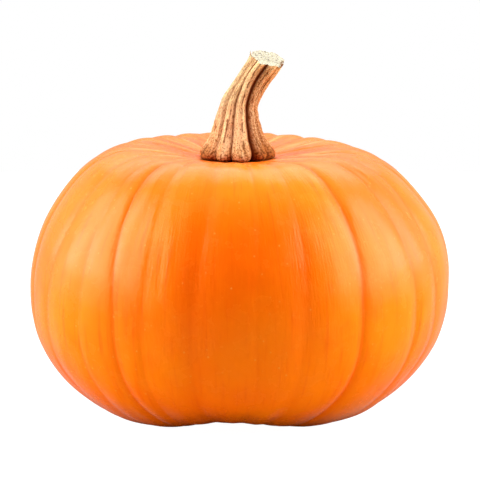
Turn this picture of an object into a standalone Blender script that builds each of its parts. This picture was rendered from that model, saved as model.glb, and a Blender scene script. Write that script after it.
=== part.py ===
"""A ribbed orange pumpkin on its own base, 240 mm wide and 208 mm tall, with its dry stem.

Metres, +Z up. The origin is on the resting plane, under the middle of the fruit. The front is
towards -Y and the stem leans towards +X. Azimuths are measured from the front, positive to +X.
"""

import math

import bmesh
import bpy

# The fruit: one solid. Heights count from the middle of its side, radii from its core.
FRUIT_RADIUS = 0.1194
FRUIT_DEPTH_SHARE = 0.985
FRUIT_ROWS = 36
CROWN_HEIGHT = 0.0978
CROWN_ROUNDING = 1.99
CROWN_HOLLOW_DEPTH = 0.0283
CROWN_HOLLOW_RADIUS = 0.0580
BASE_HEIGHT = 0.0795
BASE_ROUNDING = 2.39
BASE_HOLLOW_DEPTH = 0.0082
BASE_HOLLOW_RADIUS = 0.0342

# How the fruit departs from round: the crown leans and has a shoulder, the side is pushed over
# and rolled, and the base is low in three places, where flat spots are cut to rest on, and
# highest at the front.
CROWN_SIDE_LEAN = 0.007
CROWN_FRONT_LEAN = -0.006
CROWN_LEAN_HEIGHTS = (0.0, 0.060)
CROWN_LEAN_RADII = (0.020, 0.050)
CROWN_SHOULDER = 0.0022
CROWN_SHOULDER_START = (0.045, 0.070)
CROWN_SHOULDER_END = (0.080, 0.108)
CROWN_SWELL = 0.0005
CROWN_SWELL_AZIMUTH = -111.0
CROWN_SWELL_START = (0.020, 0.045)
CROWN_SWELL_END = (0.070, 0.100)
SIDE_SHIFT = 0.0023
SIDE_ROLL = 0.023
FOOT_WAVE = 0.0032
FOOT_WAVE_COUNT = 3.0
FOOT_WAVE_START = (0.006, 0.030)
FOOT_WAVE_END = (0.078, 0.113)
FOOT_HIGH_AZIMUTH = 1.0
FRONT_LIFT = 0.0015
FRONT_LIFT_AZIMUTH = -11.0
FRONT_LIFT_REACH = 20.0
REST_CUT = 0.0013

# The furrows round the fruit, from the back over the left side and the front to the back again:
# azimuth in degrees on the crown, at the middle and on the base, then depth and half width.
FURROWS = (
    (-175.0, -173.0, -173.0, 0.0013, 0.0046),
    (-160.0, -158.0, -157.0, 0.0006, 0.0050),
    (-146.0, -144.0, -145.0, 0.0017, 0.0044),
    (-132.0, -129.0, -130.0, 0.0007, 0.0050),
    (-115.0, -111.0, -112.0, 0.0016, 0.0044),
    (-101.0, -95.0, -95.0, 0.0006, 0.0050),
    (-84.0, -79.0, -78.0, 0.0016, 0.0040),
    (-59.0, -63.0, -61.0, 0.0006, 0.0045),
    (-46.0, -47.0, -45.0, 0.0003, 0.0040),
    (-38.0, -36.0, -33.0, 0.0014, 0.0034),
    (-26.0, -26.0, -25.0, 0.0003, 0.0040),
    (-9.5, -12.0, -11.5, 0.0007, 0.0064),
    (6.5, 4.5, 4.0, 0.0002, 0.0020),
    (19.0, 17.0, 15.0, 0.0007, 0.0068),
    (35.0, 34.5, 33.0, 0.0015, 0.0034),
    (53.0, 54.0, 53.0, 0.0008, 0.0042),
    (67.0, 65.5, 64.0, 0.0008, 0.0042),
    (87.0, 85.0, 83.0, 0.0015, 0.0044),
    (101.0, 99.0, 97.0, 0.0006, 0.0050),
    (115.0, 113.0, 112.0, 0.0016, 0.0044),
    (129.0, 128.0, 128.0, 0.0007, 0.0050),
    (143.0, 144.0, 143.0, 0.0017, 0.0044),
    (158.0, 158.0, 159.0, 0.0007, 0.0050),
    (171.0, 172.0, 172.0, 0.0013, 0.0046),
)
FURROW_DRIFT_LATITUDE = 0.9
FURROW_ROUNDING = 0.0008
FURROW_LEAST_RADIUS = 0.004
FURROW_LEAST_WIDTH_SHARE = 0.1
FURROW_CROWN_RADII = (0.014, 0.034)
FURROW_BASE_RADII = (0.050, 0.108)
CROWN_FURROW_DEPTH = 0.0005
CROWN_FURROW_HEIGHTS = (0.040, 0.078)
RIB_BULGE = 0.0004
RIB_BULGE_RADII = (0.024, 0.060)
RIB_STEPS = (0.0, 0.09, 0.26, 0.50, 0.74, 0.91)

# The stem: one solid that stands on the smooth seat in the crown hollow. Heights count from
# the seat along its middle line.
SEAT_GAP = 0.0003
SEAT_FOLLOW_HEIGHT = 0.004
STEM_OFFSET = 0.0006
STEM_LENGTH = 0.0555
STEM_NECK_RADIUS = 0.0082
STEM_SWELL = 0.0080
STEM_SWELL_HEIGHT = 0.0305
STEM_FOOT_FLARE = 0.0056
STEM_FOOT_HEIGHT = 0.009
STEM_TOE_ROUNDING = 0.09
STEM_TOE_HEIGHT = 0.0014
STEM_CUT_FLARE = 0.0020
STEM_CUT_HEIGHT = 0.010
STEM_CUT_TILT = 12.0
STEM_CUT_FORWARD = 18.0
STEM_CUT_TILT_HEIGHT = 0.040
STEM_BEND_HEIGHT = 0.0295
STEM_BEND_SOFTNESS = 0.0035
STEM_LEAN = 0.66
STEM_TWIST_HEIGHTS = (0.022, 0.054)
STEM_UNDERSIDE_SHARES = (0.0, 0.40, 0.75)
STEM_CUT_SHARES = (0.80, 0.45, 0.0)
STEM_ROWS = (
    0.0, 0.0012, 0.0032, 0.0062, 0.0098, 0.0136, 0.0174, 0.0212, 0.0250, 0.0285,
    0.0318, 0.0350, 0.0382, 0.0415, 0.0448, 0.0480, 0.0510, 0.0535, STEM_LENGTH,
)

# The valleys between the ridges of the stem: azimuth in degrees at the foot and at the cut,
# depth and half width.
STEM_VALLEYS = (
    (-167.0, -182.0, 0.0019, 0.0026),
    (-124.0, -146.0, 0.0013, 0.0030),
    (-86.0, -110.0, 0.0017, 0.0026),
    (-42.0, -68.0, 0.0018, 0.0030),
    (-11.0, -47.0, 0.0022, 0.0026),
    (32.0, -2.0, 0.0036, 0.0030),
    (60.0, 36.0, 0.0012, 0.0022),
    (103.0, 86.0, 0.0020, 0.0028),
    (150.0, 132.0, 0.0014, 0.0028),
)
STEM_VALLEY_ROUNDING = 0.0006
STEM_LOBE_GAIN = 0.9
STEM_LOBE_HEIGHT = 0.008
STEM_LEAST_VALLEY_SHARE = 0.65
RIDGE_STEPS = (0.0, 0.12, 0.30, 0.50, 0.70, 0.88)

# The toes that the ridges end in: azimuth in degrees at the foot, and how far each spreads.
STEM_TOES = (
    (-66.0, 0.0024),
    (-26.0, 0.0006),
    (10.0, 0.0016),
    (46.0, 0.0012),
    (80.0, 0.0016),
    (127.0, 0.0008),
    (172.0, 0.0016),
    (-145.0, 0.0006),
    (-105.0, 0.0014),
)
TOE_SPREAD_HEIGHT = 0.0045
TOE_SPREAD_REACH = 0.0050

FRUIT_SHARP_ANGLE = 60.0
STEM_SHARP_ANGLE = 50.0


def smooth_step(value, limits):
    start, end = limits
    share = min(1.0, max(0.0, (value - start) / (end - start)))
    return share * share * (3.0 - 2.0 * share)


def bell(distance, reach):
    return math.exp(-((distance / reach) ** 2))


def turn_between(first, second):
    return (first - second + 180.0) % 360.0 - 180.0


def spaced_azimuth(column, azimuths, steps):
    """Azimuth of a mesh column, so that each furrow falls on a column of its own."""
    index = column // len(steps)
    start = azimuths[index]
    end = azimuths[(index + 1) % len(azimuths)]
    if end < start:
        end += 360.0
    return start + steps[column % len(steps)] * (end - start)


def furrow_shape(distance, width, rounding):
    """1 in the middle of a furrow, falling off to its sides."""
    return math.exp(-(math.hypot(distance, rounding) - rounding) / width)


def fruit_outline(latitude):
    """Radius and height of the smooth fruit at a latitude in radians, before its furrows."""
    share = max(0.0, math.cos(latitude))
    radius = FRUIT_RADIUS * share
    if latitude >= 0.0:
        crown = max(0.0, 1.0 - share**CROWN_ROUNDING) ** (1.0 / CROWN_ROUNDING)
        hollow = CROWN_HOLLOW_DEPTH * bell(radius, CROWN_HOLLOW_RADIUS)
        return radius, CROWN_HEIGHT * crown - hollow
    base = max(0.0, 1.0 - share**BASE_ROUNDING) ** (1.0 / BASE_ROUNDING)
    hollow = BASE_HOLLOW_DEPTH * bell(radius, BASE_HOLLOW_RADIUS)
    return radius, hollow - BASE_HEIGHT * base


def outward(latitude):
    """Radial and upward parts of the outward direction of the smooth fruit."""
    step = math.radians(0.5)
    low_radius, low_height = fruit_outline(max(latitude - step, -math.pi / 2.0))
    high_radius, high_height = fruit_outline(min(latitude + step, math.pi / 2.0))
    rise = high_height - low_height
    run = high_radius - low_radius
    length = math.hypot(rise, run)
    return rise / length, -run / length


def furrow_azimuths(latitude):
    """Where the furrows run at a latitude: they drift a little between base and crown."""
    up = smooth_step(latitude, (0.0, FURROW_DRIFT_LATITUDE))
    down = smooth_step(-latitude, (0.0, FURROW_DRIFT_LATITUDE))
    return [
        middle + (crown - middle) * up + (base - middle) * down
        for crown, middle, base, depth, width in FURROWS
    ]


def relief(azimuth, azimuths, radius, height):
    """How far the skin lies inside the smooth fruit at this place."""
    crown_share = smooth_step(height, CROWN_FURROW_HEIGHTS)
    width_share = math.sqrt(max(FURROW_LEAST_WIDTH_SHARE, radius / FRUIT_RADIUS))
    total = 0.0
    for furrow, furrow_azimuth in zip(FURROWS, azimuths):
        depth, width = furrow[3:]
        turn = math.radians(turn_between(azimuth, furrow_azimuth))
        distance = turn * max(radius, FURROW_LEAST_RADIUS)
        depth += crown_share * max(0.0, CROWN_FURROW_DEPTH - depth)
        total += depth * furrow_shape(distance, width * width_share, FURROW_ROUNDING)
    if height > 0.0:
        return total * smooth_step(radius, FURROW_CROWN_RADII)
    return total * smooth_step(radius, FURROW_BASE_RADII)


def bulge(column, radius):
    """Swelling of a rib between its two furrows."""
    across = RIB_STEPS[column % len(RIB_STEPS)]
    return RIB_BULGE * math.sin(math.pi * across) * smooth_step(radius, RIB_BULGE_RADII)


def crown_shape(angle, x, y, radius, height):
    """Lift of the crown where the fruit is not quite round: its leans, shoulder and swelling."""
    lean = CROWN_FRONT_LEAN * y - CROWN_SIDE_LEAN * x
    lean *= smooth_step(height, CROWN_LEAN_HEIGHTS) * smooth_step(radius, CROWN_LEAN_RADII)
    shoulder = CROWN_SHOULDER * smooth_step(radius, CROWN_SHOULDER_START)
    shoulder *= 1.0 - smooth_step(radius, CROWN_SHOULDER_END)
    swell = CROWN_SWELL * math.cos(angle - math.radians(CROWN_SWELL_AZIMUTH))
    swell *= smooth_step(radius, CROWN_SWELL_START) * (1.0 - smooth_step(radius, CROWN_SWELL_END))
    return lean + shoulder + swell


def base_shape(azimuth, radius):
    """Lift of the base, which is low in three places round the core."""
    wave = FOOT_WAVE * math.cos(FOOT_WAVE_COUNT * math.radians(azimuth - FOOT_HIGH_AZIMUTH))
    front = FRONT_LIFT * bell(turn_between(azimuth, FRONT_LIFT_AZIMUTH), FRONT_LIFT_REACH)
    ring = smooth_step(radius, FOOT_WAVE_START) * (1.0 - smooth_step(radius, FOOT_WAVE_END))
    return (wave + front) * ring


def fruit_point(column, latitude):
    radius, height = fruit_outline(latitude)
    radial, upward = outward(latitude)
    azimuths = furrow_azimuths(latitude)
    azimuth = spaced_azimuth(column, azimuths, RIB_STEPS)
    moved = bulge(column, radius) - relief(azimuth, azimuths, radius, height)
    radius += moved * radial
    height += moved * upward
    angle = math.radians(azimuth)
    x = radius * math.sin(angle) + SIDE_SHIFT * (radius / FRUIT_RADIUS) ** 3
    y = -radius * math.cos(angle) * FRUIT_DEPTH_SHARE
    if height > 0.0:
        height += crown_shape(angle, x, y, radius, height)
    else:
        height += base_shape(azimuth, radius)
    height += SIDE_ROLL * x * (radius / FRUIT_RADIUS) ** 4
    return x, y, height


def seat_height(radius):
    """Height of the smooth seat in the crown hollow at a distance from the core."""
    return fruit_outline(math.acos(min(1.0, radius / FRUIT_RADIUS)))[1]


def stem_radius(height):
    swell = STEM_SWELL * bell(height, STEM_SWELL_HEIGHT)
    flare = STEM_FOOT_FLARE * bell(height, STEM_FOOT_HEIGHT)
    cut = STEM_CUT_FLARE * bell(STEM_LENGTH - height, STEM_CUT_HEIGHT)
    toe = 1.0 - STEM_TOE_ROUNDING * math.exp(-height / STEM_TOE_HEIGHT)
    return (STEM_NECK_RADIUS + swell + flare + cut) * toe


def stem_middle(height):
    """Sideways place of the middle of the stem, and its slope there."""
    reach = (height - STEM_BEND_HEIGHT) / STEM_BEND_SOFTNESS
    place = STEM_OFFSET + STEM_LEAN * STEM_BEND_SOFTNESS * math.log1p(math.exp(reach))
    slope = STEM_LEAN / (1.0 + math.exp(-reach))
    return place, slope


def valley_lines(height):
    """Azimuth of every valley at a height: the stem turned as it grew, but not evenly."""
    turned = smooth_step(height, STEM_TWIST_HEIGHTS)
    return [foot + (cut - foot) * turned for foot, cut, depth, width in STEM_VALLEYS]


def valley_sink(azimuth, lines, height):
    """How far the valleys sink the side of the stem."""
    radius = stem_radius(height)
    share = radius / stem_radius(0.0)
    valley_share = STEM_LEAST_VALLEY_SHARE + (1.0 - STEM_LEAST_VALLEY_SHARE) * share
    lobed = 1.0 + STEM_LOBE_GAIN * math.exp(-height / STEM_LOBE_HEIGHT)
    sunk = 0.0
    for line, (foot, cut, depth, width) in zip(lines, STEM_VALLEYS):
        distance = math.radians(turn_between(azimuth, line)) * radius
        sunk += depth * furrow_shape(distance, width * valley_share, STEM_VALLEY_ROUNDING)
    return sunk * lobed * valley_share


def toe_spread(azimuth, height):
    """How much further out than the even foot the toes reach."""
    spread = 0.0
    for middle, reach in STEM_TOES:
        distance = math.radians(turn_between(azimuth, middle)) * stem_radius(0.0)
        spread += reach * bell(distance, TOE_SPREAD_REACH)
    return spread * math.exp(-height / TOE_SPREAD_HEIGHT)


def stem_point(column, height, share):
    """A point of the stem: share is 1 on its side, less on its underside and its cut end."""
    lines = valley_lines(height)
    azimuth = spaced_azimuth(column, lines, RIDGE_STEPS)
    foot_azimuth = spaced_azimuth(column, valley_lines(0.0), RIDGE_STEPS)
    radius = stem_radius(height) - valley_sink(azimuth, lines, height)
    radius = (radius + toe_spread(foot_azimuth, height)) * share
    angle = math.radians(azimuth)
    across = radius * math.sin(angle)
    y = -radius * math.cos(angle)
    middle, slope = stem_middle(height)
    at_cut = smooth_step(height, (STEM_CUT_TILT_HEIGHT, STEM_LENGTH))
    tilt = math.atan(slope) * (1.0 - at_cut) + math.radians(STEM_CUT_TILT) * at_cut
    forward = math.radians(STEM_CUT_FORWARD) * at_cut
    seat = seat_height(math.hypot(across, y)) + SEAT_GAP
    rim = seat_height(STEM_NECK_RADIUS + STEM_SWELL + STEM_FOOT_FLARE) + SEAT_GAP
    z = height + rim + (seat - rim) * math.exp(-height / SEAT_FOLLOW_HEIGHT)
    z += y * math.sin(forward) - across * math.sin(tilt)
    return middle + across * math.cos(tilt), y, z


def moved_sphere(columns, rows, place):
    """A closed ball of columns and rows whose points are put where place says."""
    mesh = bmesh.new()
    bmesh.ops.create_uvsphere(mesh, u_segments=columns, v_segments=rows, radius=1.0)
    for vertex in mesh.verts:
        latitude = math.asin(max(-1.0, min(1.0, vertex.co.z)))
        turn = math.atan2(vertex.co.x, -vertex.co.y) / (2.0 * math.pi)
        row = round((latitude / math.pi + 0.5) * rows)
        vertex.co = place(round(turn * columns) % columns, row)
    mesh.normal_update()
    return mesh


def finished_object(name, mesh, material, sharp_angle):
    data = bpy.data.meshes.new(name)
    mesh.to_mesh(data)
    mesh.free()
    data.materials.append(material)
    for polygon in data.polygons:
        polygon.use_smooth = True
    data.set_sharp_from_angle(angle=math.radians(sharp_angle))
    made = bpy.data.objects.new(name, data)
    bpy.data.collections["pumpkin"].objects.link(made)
    return made


def plain_material(name, color, roughness):
    material = bpy.data.materials.new(name)
    material.use_nodes = True
    shader = material.node_tree.nodes["Principled BSDF"]
    shader.inputs["Base Color"].default_value = (*color, 1.0)
    shader.inputs["Roughness"].default_value = roughness
    return material


def skin_material():
    return plain_material("orange skin", (0.86, 0.24, 0.015), 0.42)


def stem_material():
    return plain_material("dry stem", (0.52, 0.30, 0.13), 0.80)


def build_fruit():
    """The whole fruit with its furrows, its crown hollow and its flat resting spots."""

    def place(column, row):
        return fruit_point(column, math.pi * (row / FRUIT_ROWS - 0.5))

    mesh = moved_sphere(len(FURROWS) * len(RIB_STEPS), FRUIT_ROWS, place)
    rest_height = min(vertex.co.z for vertex in mesh.verts) + REST_CUT
    for vertex in mesh.verts:
        vertex.co.z = max(vertex.co.z, rest_height)
    return finished_object("fruit", mesh, skin_material(), FRUIT_SHARP_ANGLE)


def build_stem():
    """The whole stem: lobed foot, ridged neck that leans over, and its cut end."""
    rows = [(STEM_ROWS[0], share) for share in STEM_UNDERSIDE_SHARES]
    rows += [(height, 1.0) for height in STEM_ROWS]
    rows += [(STEM_ROWS[-1], share) for share in STEM_CUT_SHARES]

    def place(column, row):
        height, share = rows[row]
        return stem_point(column, height, share)

    mesh = moved_sphere(len(STEM_VALLEYS) * len(RIDGE_STEPS), len(rows) - 1, place)
    return finished_object("stem", mesh, stem_material(), STEM_SHARP_ANGLE)


def put_on_origin(objects):
    """Move all the pieces together, so that the fruit rests on the origin, centred over it."""
    points = [vertex.co for made in objects for vertex in made.data.vertices]
    middle_x = (min(p.x for p in points) + max(p.x for p in points)) / 2.0
    middle_y = (min(p.y for p in points) + max(p.y for p in points)) / 2.0
    lowest = min(p.z for p in points)
    for made in objects:
        for vertex in made.data.vertices:
            vertex.co.x -= middle_x
            vertex.co.y -= middle_y
            vertex.co.z -= lowest
        made.data.update()


for leftover in list(bpy.data.objects):
    bpy.data.objects.remove(leftover)
group = bpy.data.collections.new("pumpkin")
bpy.context.scene.collection.children.link(group)
put_on_origin([build_fruit(), build_stem()])
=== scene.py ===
import math
import random

import bmesh
import bpy
import numpy as np
from mathutils import Matrix, Vector, noise
from mathutils.kdtree import KDTree


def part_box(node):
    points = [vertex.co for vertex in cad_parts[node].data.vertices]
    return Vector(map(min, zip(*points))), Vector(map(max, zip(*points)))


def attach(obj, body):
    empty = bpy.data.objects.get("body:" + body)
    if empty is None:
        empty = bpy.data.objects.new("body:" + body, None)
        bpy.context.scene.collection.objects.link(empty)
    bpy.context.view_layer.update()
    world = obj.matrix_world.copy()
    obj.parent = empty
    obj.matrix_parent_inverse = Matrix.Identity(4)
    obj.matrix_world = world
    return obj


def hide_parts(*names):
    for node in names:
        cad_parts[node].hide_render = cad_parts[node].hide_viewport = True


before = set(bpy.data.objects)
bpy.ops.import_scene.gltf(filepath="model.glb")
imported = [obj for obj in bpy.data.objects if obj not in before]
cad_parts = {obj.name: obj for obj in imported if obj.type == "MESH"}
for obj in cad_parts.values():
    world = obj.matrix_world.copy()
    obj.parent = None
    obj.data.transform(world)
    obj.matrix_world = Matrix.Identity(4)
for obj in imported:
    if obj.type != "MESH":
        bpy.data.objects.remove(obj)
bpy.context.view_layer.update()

# The fruit is one ripe pumpkin: a firm, waxy orange skin drawn in by furrows between its ribs,
# hollowed at the crown round the stem and at the base where the flower sat. It grew in one
# piece, so it is one closed skin, pulled out of a ball of columns and rows.

FRUIT_RADIUS = 0.1194
FRUIT_DEPTH_SHARE = 0.985
FRUIT_ROWS = 205
ROW_SHARES = (0.0, 0.12, 0.58, 0.70, 1.0)
ROW_LATITUDES = (-90.0, -48.0, 45.0, 64.0, 90.0)
COLUMNS_PER_RIB = 20
COLUMN_CROWDING = 0.055
CROWN_HEIGHT = 0.0978
CROWN_ROUNDING = 1.99
CROWN_HOLLOW_DEPTH = 0.0283
CROWN_HOLLOW_RADIUS = 0.0580
BASE_HEIGHT = 0.0795
BASE_ROUNDING = 2.39
BASE_HOLLOW_DEPTH = 0.0082
BASE_HOLLOW_RADIUS = 0.0342

# Where the fruit is not quite round: the crown leans and has a shoulder and a swelling, the
# middle is shifted and rolled to one side, and the base has low and high places round the core.
CROWN_SIDE_LEAN = 0.007
CROWN_FRONT_LEAN = -0.006
CROWN_LEAN_HEIGHTS = (0.0, 0.060)
CROWN_LEAN_RADII = (0.020, 0.050)
CROWN_SHOULDER = 0.0022
CROWN_SHOULDER_START = (0.045, 0.070)
CROWN_SHOULDER_END = (0.080, 0.108)
CROWN_SWELL = 0.0005
CROWN_SWELL_AZIMUTH = -111.0
CROWN_SWELL_START = (0.020, 0.045)
CROWN_SWELL_END = (0.070, 0.100)
SIDE_SHIFT = 0.0023
SIDE_SHIFT_FADE = 3
SIDE_ROLL = 0.023
SIDE_ROLL_FADE = 4
FOOT_WAVE = 0.0032
FOOT_WAVE_COUNT = 3.0
FOOT_WAVE_START = (0.006, 0.030)
FOOT_WAVE_END = (0.078, 0.113)
FOOT_HIGH_AZIMUTH = 1.0
FRONT_LIFT = 0.0015
FRONT_LIFT_AZIMUTH = -11.0
FRONT_LIFT_REACH = 20.0
REST_CUT = 0.0013

# Each furrow: azimuth in degrees on the crown, at the middle and on the base, depth, half width
# and the half width of the crease along its bottom.
FURROWS = (
    (-175.0, -173.0, -173.0, 0.0013, 0.0046, 0.0008),
    (-160.0, -158.0, -157.0, 0.0006, 0.0050, 0.0010),
    (-146.0, -144.0, -145.0, 0.0017, 0.0044, 0.0006),
    (-132.0, -129.0, -130.0, 0.0007, 0.0050, 0.0010),
    (-115.0, -111.0, -112.0, 0.0016, 0.0044, 0.0006),
    (-101.0, -95.0, -95.0, 0.0006, 0.0050, 0.0010),
    (-84.0, -79.0, -78.0, 0.0016, 0.0040, 0.0006),
    (-59.0, -63.0, -61.0, 0.0006, 0.0045, 0.0010),
    (-46.0, -47.0, -45.0, 0.0003, 0.0040, 0.0012),
    (-38.0, -35.1, -31.8, 0.0011, 0.0034, 0.0006),
    (-26.0, -26.0, -25.0, 0.0003, 0.0040, 0.0012),
    (-9.5, -12.0, -11.5, 0.0006, 0.0066, 0.0016),
    (6.5, 4.5, 4.0, 0.0002, 0.0020, 0.0004),
    (19.0, 17.0, 15.0, 0.0003, 0.0060, 0.0016),
    (35.0, 34.0, 31.4, 0.0014, 0.0034, 0.0006),
    (53.0, 54.0, 53.0, 0.0008, 0.0042, 0.0007),
    (67.0, 65.5, 64.0, 0.0008, 0.0042, 0.0007),
    (87.0, 85.0, 83.0, 0.0015, 0.0044, 0.0006),
    (101.0, 99.0, 97.0, 0.0006, 0.0050, 0.0010),
    (115.0, 113.0, 112.0, 0.0016, 0.0044, 0.0006),
    (129.0, 128.0, 128.0, 0.0007, 0.0050, 0.0010),
    (143.0, 144.0, 143.0, 0.0017, 0.0044, 0.0006),
    (158.0, 158.0, 159.0, 0.0007, 0.0050, 0.0010),
    (171.0, 172.0, 172.0, 0.0013, 0.0046, 0.0008),
)
FURROW_DRIFT_LATITUDE = 0.9
# How deep a furrow is when its painted shade is full, and how wide that shade is beside the furrow.
FURROW_FULL_SHADE_DEPTH = 0.0015
FURROW_SHADE_WIDTH_SHARE = 0.45
FURROW_SEED = 24
FURROW_WANDER = 0.35
FURROW_WANDER_PACES = (4.0, 7.0)
FURROW_UNEVENNESS = 0.16
FURROW_UNEVENNESS_PACES = (3.0, 5.0)
FURROW_LEAST_RADIUS = 0.004
FURROW_LEAST_WIDTH_SHARE = 0.1
FURROW_CROWN_RADII = (0.014, 0.034)
FURROW_BASE_RADII = (0.050, 0.108)
CROWN_FURROW_DEPTH = 0.0005
CROWN_FURROW_HEIGHTS = (0.040, 0.078)
RIB_BULGE = 0.0004
RIB_BULGE_RADII = (0.024, 0.060)

# Height over the floor of the middle that the fruit's outline is measured from.
MIDDLE_HEIGHT = 0.0775

# Marks that a fruit picks up as it grows: azimuth in degrees, height over the floor, half width,
# half length and depth; a negative depth stands out.
GROWTH_MARKS = (
    (-26.5, 0.115, 0.0030, 0.026, -0.00055),
    (-21.5, 0.108, 0.0022, 0.020, 0.00022),
    (-19.7, 0.0785, 0.0032, 0.0050, 0.00040),
    (-30.5, 0.122, 0.0030, 0.020, 0.00035),
    (52.4, 0.1464, 0.0016, 0.0050, 0.00030),
    (55.8, 0.1431, 0.0016, 0.0050, 0.00035),
    (59.6, 0.1363, 0.0016, 0.0060, 0.00030),
    (39.9, 0.0710, 0.0012, 0.0022, 0.00035),
    (-48.3, 0.1320, 0.0022, 0.0060, 0.00030),
    (24.0, 0.0950, 0.0040, 0.0300, 0.00015),
    (141.0, 0.1100, 0.0050, 0.0180, 0.00040),
    (-98.0, 0.0900, 0.0030, 0.0240, -0.00040),
)

# Soft patches of colour: azimuth in degrees, height over the floor, half width in degrees, half
# height and strength.
AMBER_PATCHES = (
    (6.0, 0.1430, 30.0, 0.0120, 0.80),
    (28.0, 0.0620, 12.0, 0.0260, 0.70),
    (48.0, 0.0680, 14.0, 0.0300, 1.00),
    (27.0, 0.1100, 8.0, 0.0300, 0.70),
    (-24.0, 0.1000, 7.0, 0.0320, 0.70),
    (-22.0, 0.0500, 10.0, 0.0160, 0.60),
    (-54.0, 0.0760, 15.0, 0.0320, 0.90),
    (76.0, 0.1000, 12.0, 0.0360, 0.70),
    (120.0, 0.0900, 20.0, 0.0300, 0.70),
    (-135.0, 0.0700, 24.0, 0.0260, 0.70),
    (172.0, 0.1250, 26.0, 0.0200, 0.60),
)
DEEP_PATCHES = (
    (4.0, 0.1080, 13.0, 0.0260, 0.55),
    (-13.5, 0.1040, 2.6, 0.0300, 0.60),
    (-29.0, 0.0980, 4.0, 0.0220, 0.25),
    (17.5, 0.1100, 2.0, 0.0260, 0.45),
    (-168.0, 0.0900, 18.0, 0.0260, 0.50),
    (98.0, 0.1150, 12.0, 0.0200, 0.40),
)

# The fine relief: lumps by size and height, ripples that run with the ribs, wrinkles round the
# stem and the ring that the flower left on the base.
LUMPS = ((0.045, 0.00055), (0.018, 0.00022))
RIPPLE_WIDTH = 0.0085
RIPPLE_STRETCH = 5.0
RIPPLE_HEIGHT = 0.00032
CROWN_WRINKLE_HEIGHT = 0.00040
CROWN_WRINKLE_COARSENESS = 0.13
CROWN_WRINKLE_LENGTH = 0.060
CROWN_WRINKLE_RADII = ((0.017, 0.026), (0.042, 0.070))
DETAIL_BASE_RADII = (0.030, 0.075)
SCAR_RADIUS = 0.0085
SCAR_RIM = 0.0007
SCAR_RIM_WIDTH = 0.0016
SCAR_TINT_SHARE = 1.1


def smooth_step(value, limits):
    share = np.clip((value - limits[0]) / (limits[1] - limits[0]), 0.0, 1.0)
    return share * share * (3.0 - 2.0 * share)


def bell(distance, reach):
    return np.exp(-((distance / reach) ** 2))


def turn_between(first, second):
    return (first - second + 180.0) % 360.0 - 180.0


def bell_around(azimuth, middle, reach):
    return bell(turn_between(azimuth, middle), reach)


def furrow_shape(distance, width, rounding):
    """1 in the middle of a furrow, falling off to its sides."""
    return np.exp(-(np.hypot(distance, rounding) - rounding) / width)


def unevenness(points, size, start):
    """Soft random heights from -1 to 1, in lumps of this size; each start gives others."""
    placed = points / size + start
    return np.array([noise.noise(point) for point in placed.tolist()])


def spaced_azimuth(column, azimuths, columns_between):
    """Azimuth of each point: the azimuths fall on columns, and columns crowd beside them."""
    index = (column // columns_between).astype(int)
    point = np.arange(len(column))
    start = azimuths[index, point]
    end = azimuths[(index + 1) % len(azimuths), point]
    share = column % columns_between / columns_between
    share = share - COLUMN_CROWDING * np.sin(2.0 * np.pi * share)
    return start + share * ((end - start) % 360.0), share


def closed_skin(name, columns, rows, place):
    """A closed skin of columns and rows between its lowest and its highest point."""
    column, row = np.meshgrid(np.arange(columns), np.arange(1, rows))
    column = np.concatenate(([0], column.ravel(), [0]))
    row = np.concatenate(([0], row.ravel(), [rows]))
    placed, shares = place(column, row)
    ring = 1 + np.arange(columns)
    beside = np.roll(ring, -1)
    top = len(placed) - 1
    faces = [(0, *pair) for pair in zip(beside.tolist(), ring.tolist())]
    for start in range(0, (rows - 2) * columns, columns):
        corners = (ring, beside, beside + columns, ring + columns)
        faces += np.column_stack([corner + start for corner in corners]).tolist()
    last = (rows - 2) * columns
    faces += [(top, *pair) for pair in zip((ring + last).tolist(), (beside + last).tolist())]
    mesh = bpy.data.meshes.new(name)
    mesh.from_pydata(placed.tolist(), [], faces)
    for share_name, values in shares.items():
        keep_on_mesh(mesh, share_name, values)
    mesh.polygons.foreach_set("use_smooth", [True] * len(mesh.polygons))
    mesh.update()
    piece = bpy.data.objects.new(name, mesh)
    bpy.context.scene.collection.objects.link(piece)
    return piece


def keep_on_mesh(mesh, name, values):
    """Stores a share, or a place, for every point of the mesh, for its material to read."""
    if values.ndim == 2:
        kept = mesh.attributes.new(name, "FLOAT_VECTOR", "POINT")
        kept.data.foreach_set("vector", values.astype(np.float32).ravel())
    else:
        kept = mesh.attributes.new(name, "FLOAT", "POINT")
        kept.data.foreach_set("value", values.astype(np.float32))


def fruit_outline(latitude):
    """Radius and height of the smooth fruit at a latitude in radians, before its furrows."""
    share = np.maximum(0.0, np.cos(latitude))
    radius = FRUIT_RADIUS * share
    crown = np.maximum(0.0, 1.0 - share**CROWN_ROUNDING) ** (1.0 / CROWN_ROUNDING)
    crown = CROWN_HEIGHT * crown - CROWN_HOLLOW_DEPTH * bell(radius, CROWN_HOLLOW_RADIUS)
    base = np.maximum(0.0, 1.0 - share**BASE_ROUNDING) ** (1.0 / BASE_ROUNDING)
    base = BASE_HOLLOW_DEPTH * bell(radius, BASE_HOLLOW_RADIUS) - BASE_HEIGHT * base
    return radius, np.where(latitude >= 0.0, crown, base)


def outward(latitude):
    """Radial and upward parts of the outward direction of the smooth fruit."""
    step = math.radians(0.5)
    low_radius, low_height = fruit_outline(np.maximum(latitude - step, -math.pi / 2.0))
    high_radius, high_height = fruit_outline(np.minimum(latitude + step, math.pi / 2.0))
    rise = high_height - low_height
    run = high_radius - low_radius
    length = np.hypot(rise, run)
    return rise / length, -run / length


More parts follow.
